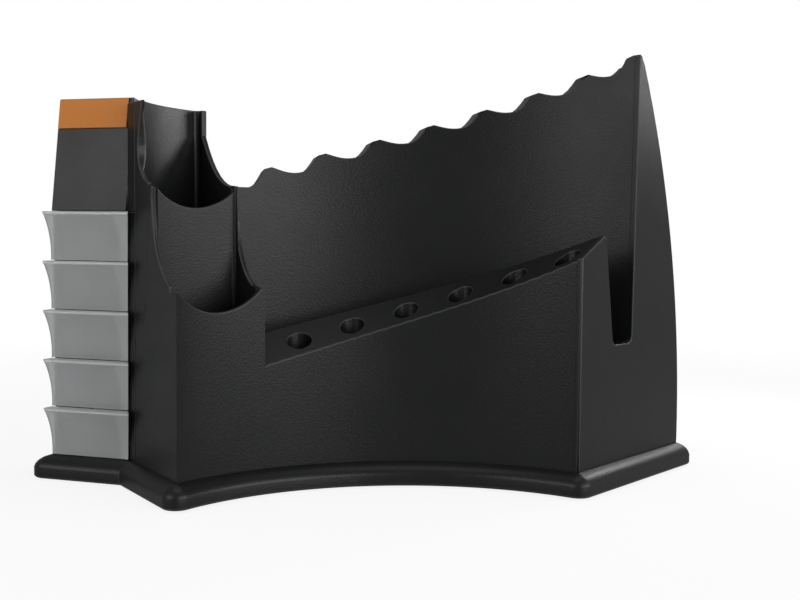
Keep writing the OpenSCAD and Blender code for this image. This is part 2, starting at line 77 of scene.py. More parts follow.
# Plan of the CAD part: the middle of its ring, directions in degrees from straight back, sizes in metres
RING_CENTRE = Vector((-0.00465984, -0.14966620, 0.0))
POT_SIDE = -24.8
END_SIDE = 47.5
END_IN = 0.005
WALL = 0.0025
FRONT_R = 0.120
SHELF_R = (0.1227, 0.1383)
SHELF_GAP = 0.0002
TROUGH_R = (0.1408, 0.1665)
WALL_LEAN = 0.018
BACK_R, BOW_R, BOW_Z = 0.2175, 0.371, 0.020
POT_CENTRE = RING_CENTRE + Vector((-0.0152, 0.1054, 0.0))
SHELF_CLIMB, SHELF_CURL, SHELF_RISE = 0.000635, 0.0000029, 0.505
SEAM = 2e-5
NEAR_PLANE, NEAR_RADIUS = 6e-5, 1e-4
PLINTH_COVER = 0.0045
TALL = 0.05

# Drawers: the shift of their lower right corner to zero in turned coordinates, the bands of their rims where
# light is painted as start, end and strength, a painted highlight on the lip and painted light on the thick
# right-hand edge, and how far the flat top of the lip goes back
DRAWER_TURN = math.radians(27.6)
DRAWER_CORNER = (0.09429, 0.0, -0.0115)
DRAWER_PITCH = 0.02236
LIP_HIGHLIGHT_BAND = (0.0202, 0.0209, 0.6)
SIDE_LIGHT_BAND = (-0.0055, -0.0025, 0.25)
LIP_LEDGE = 0.0044

# Grain: the noise values that are spread out, the size of its broad cloud and the depth of its bump
NOISE_RANGE = (0.25, 0.75)
CLOUD_SCALE, CLOUD_DETAIL, GRAIN_DETAIL = 38.0, 3.0, 2.0
BUMP_DEPTH = 0.0001

# Finish: its colour setting, grain scale, range of roughness, bump, shade, and the shader's plain sockets
FINISHES = {
    "satin_body": ("moulded", 1100, (0.34, 0.42), 0.95, 0.12, {"Specular IOR Level": 0.26}),
    "frosted_clear": ("frosted", 900, (0.26, 0.36), 0.06, 0.1, {"Transmission Weight": 0.5, "IOR": 1.49}),
    "label_satin": ("label", 1500, (0.42, 0.5), 0.08, 0.05, {"Specular IOR Level": 0.2}),
    "foot_rubber": ("rubber", 1200, (0.75, 0.85), 0.5, 0.12, {}),
    "zinc_steel": ("steel", 2500, (0.28, 0.38), 0.1, 0.12, {"Metallic": 1.0}),
}

# Feet and screws: a foot's hollow as shares of its radius, the step of its rounded edge as a share of the edge,
# a screw's recess as shares of its head and depth, the sides of their circles, and the widest fixing
FOOT_HOLLOW = (0.45, 0.6)
FOOT_STEP = 0.3
RECESS_SPAN, RECESS_CUT = 1.15, 2.0
FOOT_SIDES, SCREW_SIDES = 48, 40
FIXING_SPAN = 0.0125

# Stage: the point that the lamps face, and each lamp's turn to the right of the front and lift in degrees, its
# distance, its width and height, and the setting of its power
AIM = Vector((0, 0, 0.1))
LAMPS = (
    ("soft_right", 48, 12, 1.3, (1.65, 0.6), "key_light"),
    ("soft_back", 118, 22, 0.41, (0.16, 0.12), "back_light"),
    ("soft_left", -58, 17, 1.3, (0.8, 0.65), "fill_light"),
    ("soft_top", 0, 88, 1.2, (0.9, 0.9), "top_light"),
)
FLOOR_HALF, FLOOR_TONE = 3.0, 0.85
FLOOR_FADE = {"From Min": 0.2, "From Max": 0.8, "To Min": 0.86, "To Max": 1.0}
SENSOR = 36.0
CLIP = (0.01, 50.0)


# ---------------------------------------------------------------- settings

class RackSizes(bpy.types.PropertyGroup):
    """Edge radii and small details of the pieces."""

    edge_radius: bpy.props.FloatProperty(
        name="Edge radius", description="Rounding of the moulded edges", default=0.0005,
        min=0.0001, max=0.001, precision=5, subtype="DISTANCE", unit="LENGTH")
    corner_radius: bpy.props.FloatProperty(
        name="Front corner radius", description="Rounding of the upright corner in front of the pots",
        default=0.0026, min=0.0005, max=0.003, precision=5, subtype="DISTANCE", unit="LENGTH")
    end_radius: bpy.props.FloatProperty(
        name="End edge radius", description="Rounding of the upright edge at the right-hand end",
        default=0.0011, min=0.0003, max=0.002, precision=5, subtype="DISTANCE", unit="LENGTH")
    drawer_radius: bpy.props.FloatProperty(
        name="Drawer edge radius", description="Rounding of the clear drawers' edges", default=0.00025,
        min=0.0001, max=0.0005, precision=5, subtype="DISTANCE", unit="LENGTH")


class RackColours(bpy.types.PropertyGroup):
    """Colours of the finishes, and of the highlights painted on the body's edges and the drawers' rims, in linear
    light.
    """

    moulded: bpy.props.FloatVectorProperty(
        name="Moulded body", description="Colour of the satin body plastic", size=3, subtype="COLOR",
        default=(0.0065, 0.0068, 0.0074), min=0, max=1)
    # Painted highlight: a lighter base colour on the body's rounded edges, standing in for the light they catch
    edge: bpy.props.FloatVectorProperty(
        name="Moulded edges", description="Colour of the body's rounded edges", size=3, subtype="COLOR",
        default=(0.03, 0.0305, 0.0315), min=0, max=1)
    frosted: bpy.props.FloatVectorProperty(
        name="Drawers", description="Tint of the frosted clear plastic", size=3, subtype="COLOR",
        default=(0.475, 0.48, 0.485), min=0, max=1)
    # Painted highlight on the drawers' lips and painted light along their thick right-hand edges, mixed into the
    # frosted colour
    rim_highlight: bpy.props.FloatVectorProperty(
        name="Drawer rims", description="Tint of the drawers' thick rims", size=3, subtype="COLOR",
        default=(0.86, 0.87, 0.87), min=0, max=1)
    label: bpy.props.FloatVectorProperty(
        name="Label plate", description="Colour of the plain plate above the drawers", size=3,
        subtype="COLOR", default=(0.44, 0.145, 0.016), min=0, max=1)
    rubber: bpy.props.FloatVectorProperty(
        name="Feet", description="Colour of the rubber feet", size=3, subtype="COLOR",
        default=(0.012, 0.012, 0.012), min=0, max=1)
    steel: bpy.props.FloatVectorProperty(
        name="Screws", description="Colour of the zinc-plated screws", size=3, subtype="COLOR",
        default=(0.55, 0.55, 0.56), min=0, max=1)


class RackStage(bpy.types.PropertyGroup):
    """Camera and light."""

    camera_place: bpy.props.FloatVectorProperty(
        name="Camera", description="Place of the camera", size=3, subtype="TRANSLATION", unit="LENGTH",
        default=(-0.080558, -0.56507, 0.118))
    heading: bpy.props.FloatProperty(
        name="Heading", description="Direction of view, to the right of straight back",
        default=math.radians(9.21), subtype="ANGLE")
    pitch: bpy.props.FloatProperty(
        name="Pitch", description="How far the camera looks down", default=math.radians(3.53), subtype="ANGLE")
    roll: bpy.props.FloatProperty(
        name="Roll", description="Turn of the camera about its own axis", default=math.radians(0.6),
        subtype="ANGLE")
    lens: bpy.props.FloatProperty(
        name="Lens", description="Focal length on a 36 mm sensor", default=54.0, min=20, max=200,
        subtype="DISTANCE_CAMERA")
    key_light: bpy.props.FloatProperty(
        name="Right light", description="Power of the soft light at the front right", default=14.0, min=0,
        subtype="POWER")
    back_light: bpy.props.FloatProperty(
        name="Back light", description="Power of the small light at the right behind the part", default=0.7,
        min=0, subtype="POWER")
    fill_light: bpy.props.FloatProperty(
        name="Left light", description="Power of the soft light at the front left", default=5.5, min=0,
        subtype="POWER")
    top_light: bpy.props.FloatProperty(
        name="Top light", description="Power of the soft light overhead", default=3.0, min=0, subtype="POWER")
    ambient: bpy.props.FloatProperty(
        name="Ambient", description="Strength of the room's own light", default=0.35, min=0, max=1,
        subtype="FACTOR")
    sides: bpy.props.FloatProperty(
        name="Sides in reflections", description="How bright the studio's sides are in reflections", default=0.3,
        min=0, max=1, subtype="FACTOR")
    table: bpy.props.FloatProperty(
        name="Floor in reflections", description="How bright the floor is in reflections", default=0.3,
        min=0, max=1, subtype="FACTOR")


# ---------------------------------------------------------------- node helpers

def new_group(name, inputs, outputs):
    """A shader node group with its sockets, and its input and output nodes."""
    group = bpy.data.node_groups.new(name, "ShaderNodeTree")
    for label, kind, default in inputs:
        socket = group.interface.new_socket(label, in_out="INPUT", socket_type=kind)
        if default is not None:
            socket.default_value = default
    for label, kind in outputs:
        group.interface.new_socket(label, in_out="OUTPUT", socket_type=kind)
    return group, group.nodes.new("NodeGroupInput"), group.nodes.new("NodeGroupOutput")


def add(tree, kind, **settings):
    """A node of that kind, with its settings."""
    made = tree.nodes.new(kind)
    for key, value in settings.items():
        setattr(made, key, value)
    return made


def feed(tree, socket, value):
    """Links a socket to another, or sets its value."""
    if isinstance(value, bpy.types.NodeSocket):
        tree.links.new(value, socket)
    else:
        socket.default_value = value


def maths(tree, operation, first, second):
    """The result of a Math node on two numbers or sockets."""
    made = add(tree, "ShaderNodeMath", operation=operation)
    for socket, value in zip(made.inputs, (first, second)):
        feed(tree, socket, value)
    return made.outputs[0]


def noise(tree, vector, scale, detail):
    """The value of a noise texture."""
    made = add(tree, "ShaderNodeTexNoise", noise_dimensions="3D")
    for socket, value in (("Vector", vector), ("Scale", scale), ("Detail", detail)):
        feed(tree, made.inputs[socket], value)
    return made.outputs["Fac"]


def spread(tree, value, low, high):
    """A noise value spread from low to high, each a number or a socket."""
    made = add(tree, "ShaderNodeMapRange")
    for socket, number in zip(("Value", "From Min", "From Max", "To Min", "To Max"),
                              (value, *NOISE_RANGE, low, high)):
        feed(tree, made.inputs[socket], number)
    return made.outputs["Result"]


def grain_group():
    """Fine moulded grain: a height for bump, a roughness and a shade that vary over the surface."""
    group, taken, given = new_group(
        "moulded_grain",
        (("Vector", "NodeSocketVector", None), ("Grain Scale", "NodeSocketFloat", 1500.0),
         ("Smoothest", "NodeSocketFloat", 0.4), ("Roughest", "NodeSocketFloat", 0.5)),
        (("Height", "NodeSocketFloat"), ("Roughness", "NodeSocketFloat"), ("Shade", "NodeSocketFloat")))
    place = taken.outputs["Vector"]
    fine = noise(group, place, taken.outputs["Grain Scale"], GRAIN_DETAIL)
    broad = noise(group, place, CLOUD_SCALE, CLOUD_DETAIL)
    group.links.new(fine, given.inputs["Height"])
    group.links.new(broad, given.inputs["Shade"])
    group.links.new(spread(group, broad, taken.outputs["Smoothest"], taken.outputs["Roughest"]),
                    given.inputs["Roughness"])
    return group


def material(name, colour, grain, scale, roughness, bump, shade, plain):
    """A Principled material with the shared grain. plain sets the shader's own sockets."""
    made = bpy.data.materials.new(name)
    made.use_nodes = True
    tree = made.node_tree
    tree.nodes.clear()
    shader = add(tree, "ShaderNodeBsdfPrincipled")
    end = add(tree, "ShaderNodeOutputMaterial")
    place = add(tree, "ShaderNodeTexCoord")
    texture = add(tree, "ShaderNodeGroup", node_tree=grain)
    texture.inputs["Grain Scale"].default_value = scale
    texture.inputs["Smoothest"].default_value = roughness[0]
    texture.inputs["Roughest"].default_value = roughness[1]
    tree.links.new(place.outputs["Object"], texture.inputs["Vector"])
    tint = add(tree, "ShaderNodeMix", data_type="RGBA")
    tint.inputs[6].default_value = [c * (1 - shade) for c in colour] + [1]
    tint.inputs[7].default_value = [min(1, c * (1 + shade)) for c in colour] + [1]
    tree.links.new(texture.outputs["Shade"], tint.inputs[0])
    tree.links.new(tint.outputs[2], shader.inputs["Base Color"])
    tree.links.new(texture.outputs["Roughness"], shader.inputs["Roughness"])
    relief = add(tree, "ShaderNodeBump")
    relief.inputs["Strength"].default_value = bump
    relief.inputs["Distance"].default_value = BUMP_DEPTH
    tree.links.new(texture.outputs["Height"], relief.inputs["Height"])
    tree.links.new(relief.outputs["Normal"], shader.inputs["Normal"])
    for socket, value in plain.items():
        shader.inputs[socket].default_value = value
    tree.links.new(shader.outputs["BSDF"], end.inputs["Surface"])
    return made


def mix_painted_light(made, mask, colour):
    """Mixes a material's base colour to another by a mask, to paint light into it."""
    tree = made.node_tree
    base = next(n for n in tree.nodes if n.type == "BSDF_PRINCIPLED").inputs["Base Color"]
    mix = add(tree, "ShaderNodeMix", data_type="RGBA")
    mix.inputs[7].default_value = (*colour, 1)
    tree.links.new(mask, mix.inputs[0])
    tree.links.new(base.links[0].from_socket, mix.inputs[6])
    tree.links.new(mix.outputs[2], base)


def paint_edge_highlights(made, colour):
    """Paints a highlight into the base colour of the mouldings' rounded edges."""
    rounded = add(made.node_tree, "ShaderNodeAttribute", attribute_name=EDGE_HIGHLIGHT)
    mix_painted_light(made, rounded.outputs["Fac"], colour)


def paint_rim_highlights(made, colour):
    """Paints a highlight on the drawers' lips and painted light on their right-hand edges, where the clear
    plastic is thick.
    """
    tree = made.node_tree
    place = add(tree, "ShaderNodeTexCoord")
    turn = add(tree, "ShaderNodeMapping")
    turn.inputs["Location"].default_value = DRAWER_CORNER
    turn.inputs["Rotation"].default_value = (0, 0, DRAWER_TURN)
    apart = add(tree, "ShaderNodeSeparateXYZ")
    tree.links.new(place.outputs["Object"], turn.inputs["Vector"])
    tree.links.new(turn.outputs["Vector"], apart.inputs[0])
    height = maths(tree, "FLOORED_MODULO", apart.outputs["Z"], DRAWER_PITCH)
    masks = []
    for value, (low, high, share) in ((height, LIP_HIGHLIGHT_BAND), (apart.outputs["X"], SIDE_LIGHT_BAND)):
        ramp = add(tree, "ShaderNodeMapRange", interpolation_type="SMOOTHSTEP")
        for socket, number in (("Value", value), ("From Min", low), ("From Max", high), ("To Max", share)):
            feed(tree, ramp.inputs[socket], number)
        masks.append(ramp.outputs[0])
    mix_painted_light(made, maths(tree, "MAXIMUM", *masks), colour)


def finishes(colours):
    """Every finish, by its name."""
    found = {m.name: m for m in bpy.data.materials if m.get("rack_finish")}
    if found:
        return found
    grain = grain_group()
    found = {name: material(name, getattr(colours, colour), grain, *values)
             for name, (colour, *values) in FINISHES.items()}
    # Painted highlights on the body's rounded edges and on the drawers' rims
    paint_edge_highlights(found["satin_body"], colours.edge)
    paint_rim_highlights(found["frosted_clear"], colours.rim_highlight)
    for made in found.values():
        made["rack_finish"] = True
    return found


# ---------------------------------------------------------------- mesh helpers

def merged(node):
    """A bmesh of a copy of a CAD node, its loose triangles merged and flat areas joined."""
    bm = bmesh.new()
    bm.from_mesh(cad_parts[node].data)
    bmesh.ops.remove_doubles(bm, verts=bm.verts, dist=MERGE)
    bmesh.ops.dissolve_degenerate(bm, edges=bm.edges, dist=MERGE)
    bmesh.ops.dissolve_limit(bm, angle_limit=FLAT_ANGLE, verts=bm.verts, edges=bm.edges,
                             use_dissolve_boundaries=False)
    return bm


def evaluated(obj):
    """obj's mesh with its modifiers applied, as a plain mesh."""
    graph = bpy.context.evaluated_depsgraph_get()
    return bpy.data.meshes.new_from_object(obj.evaluated_get(graph), depsgraph=graph)


def finish_piece(obj, mesh, finish, body, slot, *nodes):
    """Gives obj its plain mesh and finish, and ties it to the frame."""
    old = obj.data
    obj.modifiers.clear()
    obj.data = mesh
    bpy.data.meshes.remove(old)
    mesh.name = obj.name
    mesh.materials.clear()
    mesh.materials.append(finish)
    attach(obj, body)
    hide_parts(*nodes)
    return obj


def new_object(name, mesh):
    obj = bpy.data.objects.new(name, mesh)
    bpy.context.scene.collection.objects.link(obj)
    return obj


def unit(vectors):
    return vectors / np.linalg.norm(vectors, axis=1, keepdims=True)


def outward(points, centre=RING_CENTRE):
    """Level unit directions from an upright axis to the points."""
    away = points - np.array(centre)
    away[:, 2] = 0
    return unit(away)


def upright(points):
    """Normals of the walls that follow the ring."""
    return outward(points)


def leaning(points):
    """Normals of the brush wall, which leans back a little."""
    return unit(outward(points) - np.array((0, 0, WALL_LEAN)))


def bowed(points):
    """Normals of the bowed back."""
    away = outward(points)
    reach = ((points - np.array(RING_CENTRE)) * away).sum(1, keepdims=True) - (BACK_R - BOW_R)
    return unit(away * reach + np.outer(points[:, 2] - BOW_Z, (0, 0, 1)))


def pot_back(points):
    """Normals of the rear pot's round back."""
    return outward(points, POT_CENTRE)


def ramp(points):
    """Normals of the winding brush shelf."""
    away = outward(points)
    across = np.stack((away[:, 1], -away[:, 0], np.zeros(len(away))), axis=1)
    radius = ((points - np.array(RING_CENTRE)) * away).sum(1)
    turn = np.degrees(np.arctan2(away[:, 0], away[:, 1]))
    slope = np.degrees(SHELF_CLIMB + 2 * SHELF_CURL * turn) / radius
    return unit(np.array((0, 0, 1.0)) - SHELF_RISE * away - across * slope[:, None])


def side_of(point, degrees):
    """Distance of a point to the right of an upright plane through the ring's centre."""
    a = math.radians(degrees)
    return (point - RING_CENTRE).dot(Vector((math.cos(a), -math.sin(a), 0)))


def radius_at(point):
    return (point - RING_CENTRE).to_2d().length


def in_plane(edge, degrees, off):
    """True if the edge lies in the upright plane that is off to the right of that line."""
    return all(abs(side_of(v.co, degrees) - off) < NEAR_PLANE for v in edge.verts)


def at_radius(edge, radius):
    return all(abs(radius_at(v.co) - radius) < NEAR_RADIUS for v in edge.verts)


def is_upright(edge):
    return abs(edge.verts[0].co.z - edge.verts[1].co.z) > 0.99 * edge.calc_length()


def read(items, key, width=1):
    """One value of every item, as an array."""
    values = np.empty(len(items) * width)
    items.foreach_get(key, values)
    return values.reshape(-1, width) if width > 1 else values


def shade(mesh, curves):
    """Sets the corner normals: exact on the curved walls, even on the rest, and carried on into rounded edges."""
    polygons = mesh.polygons
    normal, area = read(polygons, "normal", 3), read(polygons, "area")
    centre, place = read(polygons, "center", 3), read(mesh.vertices, "co", 3)
    main = read(polygons, "material_index") == MAIN
    owner = np.repeat(np.arange(len(polygons)), read(polygons, "loop_total").astype(int))
    vertex = read(mesh.loops, "vertex_index").astype(int)
    corner = normal[owner]
    exact = np.zeros(len(polygons), bool)
    for curve in curves:
        along = (curve(centre) * normal).sum(1)
        hit = main & ~exact & (np.abs(along) > math.cos(CURVE_ANGLE))
        loops = hit[owner]
        corner[loops] = curve(place[vertex[loops]]) * np.sign(along)[owner[loops], None]
        exact |= hit
    around = [[] for _ in mesh.vertices]
    for loop, index in enumerate(vertex):
        around[index].append(loop)
    soft = math.cos(EDGE_ANGLE)
    for loops in around:
        mains = [i for i in loops if main[owner[i]]]
        even = {}
        for i in mains:
            if not exact[owner[i]]:
                near = [j for j in mains if normal[owner[i]] @ normal[owner[j]] > soft]
                total = sum(area[owner[j]] * corner[j] for j in near)
                even[i] = total / np.linalg.norm(total)
        for i, value in even.items():
            corner[i] = value
        rest = [i for i in loops if not main[owner[i]]]
        for i in rest:
            if mains:
                corner[i] = corner[max(mains, key=lambda j: corner[j] @ normal[owner[i]])]
            else:
                total = sum(area[owner[j]] * normal[owner[j]] for j in rest)
                corner[i] = total / np.linalg.norm(total)
    mesh.normals_split_custom_set(corner.tolist())


def soften(name, node, radius_of, finish, body, slot, curves=(), settle=None):
    """A copy of a CAD node with rounded edges. radius_of gives an edge's radius, settle may move points first."""
    bm = merged(node)
    if settle:
        settle(bm)
    weight = bm.edges.layers.float.new("bevel_weight_edge")
    for edge in bm.edges:
        if edge.is_manifold and edge.calc_face_angle(0) > EDGE_ANGLE:
            radius = radius_of(edge)
            if any(face.calc_area() < ROOM * radius * edge.calc_length() for face in edge.link_faces):
                radius = 0.0
            edge[weight] = min(1.0, radius / WIDEST)
            edge.smooth = radius > 0
    for face in bm.faces:
        face.smooth = True
        face.material_index = MAIN
    mesh = bpy.data.meshes.new(name)
    bm.to_mesh(mesh)
    bm.free()
    for _ in (MAIN, ROUNDED):
        mesh.materials.append(finish)
    obj = new_object(name, mesh)
    bevel = obj.modifiers.new("round", "BEVEL")
    bevel.limit_method = "WEIGHT"
    bevel.width = WIDEST
    bevel.segments = SEGMENTS
    bevel.use_clamp_overlap = False
    bevel.material = ROUNDED
    made = evaluated(obj)
    low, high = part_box(node)
    for vert in made.vertices:
        vert.co = [min(max(c, a), b) for c, a, b in zip(vert.co, low, high)]
    # Marks the rounded edges' faces, the mask of the highlight painted on them
    rounded = made.attributes.new(EDGE_HIGHLIGHT, "FLOAT", "FACE")
    rounded.data.foreach_set("value", read(made.polygons, "material_index"))
    shade(made, curves)
    return finish_piece(obj, made, finish, body, slot, node)


# ---------------------------------------------------------------- operators

# CAD node, name of the piece that stands for it, share of the edge radius, exact curves
MOULDINGS = (
    ("base_plinth", "plinth_edge", 0.6, ()),
    ("base_floor", "plinth_floor", 0.4, ()),
    ("front_housing", "front_wall", 1.0, (upright, ramp)),
    ("brush_shelf", "brush_shelf_top", 0.7, (upright, ramp)),
    ("trough_floor", "trough_bed", 0.6, (upright,)),
    ("end_panel", "end_wall", 1.0, (upright,)),
    ("rear_wall", "brush_wall", 1.0, (leaning,)),
    ("rear_shell", "back_shell", 1.0, (leaning, bowed)),
    ("pot_block", "pots", 1.2, (upright, bowed, pot_back)),
    ("drawer_tower", "drawer_casing", 0.8, ()),
    ("tower_cap", "casing_hood", 1.0, ()),
    ("tower_back_panel", "casing_back", 0.6, ()),
    ("drawer_guide_left", "ledges_left", 0.4, ()),
    ("drawer_guide_right", "ledges_right", 0.4, ()),
)


def moulded_radius(edge, node, share, sizes):
    """Edge radius of the moulded body; 0 where two mouldings meet flush."""
    if all(v.co.z < PLINTH_COVER for v in edge.verts) and node != "base_plinth":
        return 0.0
    if node == "pot_block":
        if in_plane(edge, POT_SIDE, 0.0) and is_upright(edge):
            return 0.0
        if is_upright(edge) and edge.calc_length() > TALL and at_radius(edge, FRONT_R):
            return sizes.corner_radius
    elif in_plane(edge, POT_SIDE, SEAM) or in_plane(edge, END_SIDE, -END_IN - WALL - SEAM):
        return 0.0
    if node == "end_panel":
        if in_plane(edge, END_SIDE, -END_IN - WALL):
            slot = all(TROUGH_R[0] < radius_at(v.co) < TROUGH_R[1] for v in edge.verts)
            return sizes.edge_radius * share if slot else 0.0
        if in_plane(edge, END_SIDE, -END_IN) and is_upright(edge) and at_radius(edge, FRONT_R):
            return sizes.end_radius
    if node in ("front_housing", "brush_shelf") and any(
            at_radius(edge, r) for r in (FRONT_R + WALL, SHELF_R[1] + SHELF_GAP)):
        return 0.0
    return sizes.edge_radius * share


def close_shelf(bm):
    """Brings the shelf flush with the front wall, along the slope of its ramp."""
    for vert in bm.verts:
        radius = radius_at(vert.co)
        for was, now in zip(SHELF_R, (FRONT_R + WALL, SHELF_R[1] + SHELF_GAP)):
            if abs(radius - was) < NEAR_RADIUS:
                away = (vert.co - RING_CENTRE) * Vector((1, 1, 0)) / radius
                vert.co += (away + Vector((0, 0, SHELF_RISE))) * (now - radius)


class RACK_OT_moulded_body(bpy.types.Operator):
    """Rounds the edges of the moulded body pieces and gives them their satin finish"""

    bl_idname = "rack.moulded_body"
    bl_label = "Moulded body"

    def execute(self, context):
        sizes = context.scene.rack_sizes
        finish = finishes(context.scene.rack_colours)["satin_body"]
        for node, name, share, curves in MOULDINGS:
            soften(name, node, lambda edge: moulded_radius(edge, node, share, sizes), finish, HOUSING, "body",
                   curves, close_shelf if node == "brush_shelf" else None)
        return {"FINISHED"}


def widen_lip(bm):
    """Carries the flat top of a drawer's lip back to the front above it."""
    inward = Vector((math.sin(DRAWER_TURN), math.cos(DRAWER_TURN), 0))
    top = max(v.co.z for v in bm.verts)
    lip = [v for v in bm.verts if v.co.z > top - MERGE]
    middle = (min(v.co.dot(inward) for v in lip) + max(v.co.dot(inward) for v in lip)) / 2
    front = [v for v in lip if v.co.dot(inward) < middle]
    for vert in lip:
        if vert.co.dot(inward) >= middle:
            run = vert.co - min(front, key=lambda v: (v.co - vert.co).length).co
            vert.co += run * (LIP_LEDGE / run.dot(inward))


def drawer_radius(edge, sizes):
    """Edge radius of the drawers; 0 on the thin back edge of the lip."""
    return sizes.drawer_radius if edge.calc_face_angle(0) < KNIFE_ANGLE else 0.0


class RACK_OT_drawers(bpy.types.Operator):
    """Makes the five frosted clear drawers"""

    bl_idname = "rack.drawers"
    bl_label = "Drawers"

    def execute(self, context):
        sizes = context.scene.rack_sizes
        finish = finishes(context.scene.rack_colours)["frosted_clear"]
        for node in sorted(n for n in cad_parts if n.startswith("drawer_") and n[7:].isdigit()):
            soften("clear_" + node, node, lambda edge: drawer_radius(edge, sizes), finish,
                   "tray_" + node[7:], "drawer", settle=widen_lip)
        return {"FINISHED"}


class RACK_OT_label(bpy.types.Operator):
    """Makes the plain coloured plate above the drawers"""

    bl_idname = "rack.label"
    bl_label = "Label plate"

    def execute(self, context):
        finish = finishes(context.scene.rack_colours)["label_satin"]
        soften("label_plate", "badge", lambda edge: LABEL_RADIUS, finish, HOUSING, "badge")
        return {"FINISHED"}


def turned(tree, rings, vertices):
    """A closed turned solid from rings of radius and height, from the bottom up."""
    disc = add(tree, "GeometryNodeMeshCircle", fill_type="NGON")
    disc.inputs["Vertices"].default_value = vertices
    feed(tree, disc.inputs["Radius"], rings[0][0])
    lift = add(tree, "ShaderNodeCombineXYZ")
    feed(tree, lift.inputs["Z"], rings[0][1])
    raised = add(tree, "GeometryNodeSetPosition")
    tree.links.new(disc.outputs["Mesh"], raised.inputs["Geometry"])
    tree.links.new(lift.outputs[0], raised.inputs["Offset"])
    bottom = add(tree, "GeometryNodeFlipFaces")
    tree.links.new(raised.outputs["Geometry"], bottom.inputs["Mesh"])
    shape, top = raised.outputs["Geometry"], None
    for (r0, z0), (r1, z1) in zip(rings, rings[1:]):
        push = add(tree, "GeometryNodeExtrudeMesh", mode="FACES")
        push.inputs["Individual"].default_value = False
        tree.links.new(shape, push.inputs["Mesh"])
        if top:
            tree.links.new(top, push.inputs["Selection"])
        feed(tree, push.inputs["Offset Scale"], maths(tree, "SUBTRACT", z1, z0))
        widen = add(tree, "GeometryNodeScaleElements", domain="FACE")
        tree.links.new(push.outputs["Mesh"], widen.inputs["Geometry"])
        tree.links.new(push.outputs["Top"], widen.inputs["Selection"])
        feed(tree, widen.inputs["Scale"], maths(tree, "DIVIDE", r1, r0))
        shape, top = widen.outputs["Geometry"], push.outputs["Top"]
    whole = add(tree, "GeometryNodeJoinGeometry")
    tree.links.new(shape, whole.inputs[0])
    tree.links.new(bottom.outputs["Mesh"], whole.inputs[0])
    closed = add(tree, "GeometryNodeMergeByDistance")
    closed.inputs["Distance"].default_value = 1e-6
    tree.links.new(whole.outputs[0], closed.inputs["Geometry"])
    return closed.outputs["Geometry"]


def fixing_tree(name, sizes, shape_of):
    """A Geometry Nodes tree that puts one shape on every point. sizes lists its inputs and their defaults."""
    tree = bpy.data.node_groups.new(name, "GeometryNodeTree")
    tree.interface.new_socket("Geometry", in_out="OUTPUT", socket_type="NodeSocketGeometry")
    tree.interface.new_socket("Places", in_out="INPUT", socket_type="NodeSocketGeometry")
    for label, default in sizes:
        socket = tree.interface.new_socket(label, in_out="INPUT", socket_type="NodeSocketFloat")
        socket.subtype, socket.default_value = "DISTANCE", default
    tree.interface.new_socket("Finish", in_out="INPUT", socket_type="NodeSocketMaterial")
    taken, given = tree.nodes.new("NodeGroupInput"), tree.nodes.new("NodeGroupOutput")
    put = add(tree, "GeometryNodeInstanceOnPoints")
    real = add(tree, "GeometryNodeRealizeInstances")
    coat = add(tree, "GeometryNodeSetMaterial")
    tree.links.new(taken.outputs["Places"], put.inputs["Points"])
    tree.links.new(shape_of(tree, taken.outputs), put.inputs["Instance"])
    tree.links.new(put.outputs[0], real.inputs[0])
    tree.links.new(real.outputs[0], coat.inputs["Geometry"])
    tree.links.new(taken.outputs["Finish"], coat.inputs["Material"])
    tree.links.new(coat.outputs[0], given.inputs[0])
    return tree


def foot_shape(tree, size):
    """A rubber foot with a rounded lower edge and a shallow hollow underneath."""
    radius, height, edge = size["Radius"], size["Height"], size["Edge"]
    step = maths(tree, "MULTIPLY", edge, FOOT_STEP)
    inner, outer = (maths(tree, "MULTIPLY", radius, part) for part in FOOT_HOLLOW)
    return turned(tree, (
        (inner, step), (outer, 0.0),
        (maths(tree, "SUBTRACT", radius, edge), 0.0),
        (maths(tree, "SUBTRACT", radius, step), step),
        (radius, edge), (radius, height)), FOOT_SIDES)


def screw_shape(tree, size):
    """A flat-headed screw with a cross recess in its head."""
    head, edge, shank = size["Head Radius"], size["Edge"], size["Shank Radius"]
    seat = size["Head Height"]
    body = turned(tree, (
        (maths(tree, "SUBTRACT", head, edge), 0.0), (head, edge), (head, seat), (shank, seat),
        (shank, maths(tree, "ADD", seat, size["Shank Length"]))), SCREW_SIDES)
    cut = add(tree, "GeometryNodeMeshBoolean", operation="DIFFERENCE")
    tree.links.new(body, cut.inputs["Mesh 1"])
    cross = add(tree, "GeometryNodeJoinGeometry")
    for long_side in (0, 1):
        bar = add(tree, "GeometryNodeMeshCube")
        extent = add(tree, "ShaderNodeCombineXYZ")
        feed(tree, extent.inputs[long_side], maths(tree, "MULTIPLY", head, RECESS_SPAN))
        feed(tree, extent.inputs[1 - long_side], size["Recess Width"])
        feed(tree, extent.inputs[2], maths(tree, "MULTIPLY", size["Recess Depth"], RECESS_CUT))
        tree.links.new(extent.outputs[0], bar.inputs["Size"])
        tree.links.new(bar.outputs["Mesh"], cross.inputs[0])
    tree.links.new(cross.outputs[0], cut.inputs["Mesh 2"])
    return cut.outputs["Mesh"]


# CAD node, name of the piece, record slot, finish, sizes of one fixing, and the function for its shape
FIXINGS = (
    ("rubber_feet", "feet", "rubber", "foot_rubber",
     (("Radius", 0.006), ("Height", 0.0019), ("Edge", 0.0006)), foot_shape),
    ("base_screws", "plinth_screws", "steel", "zinc_steel",
     (("Head Radius", 0.003), ("Head Height", 0.0016), ("Edge", 0.0004), ("Shank Radius", 0.0014),
      ("Shank Length", 0.0038), ("Recess Width", 0.0008), ("Recess Depth", 0.0009)), screw_shape),
)


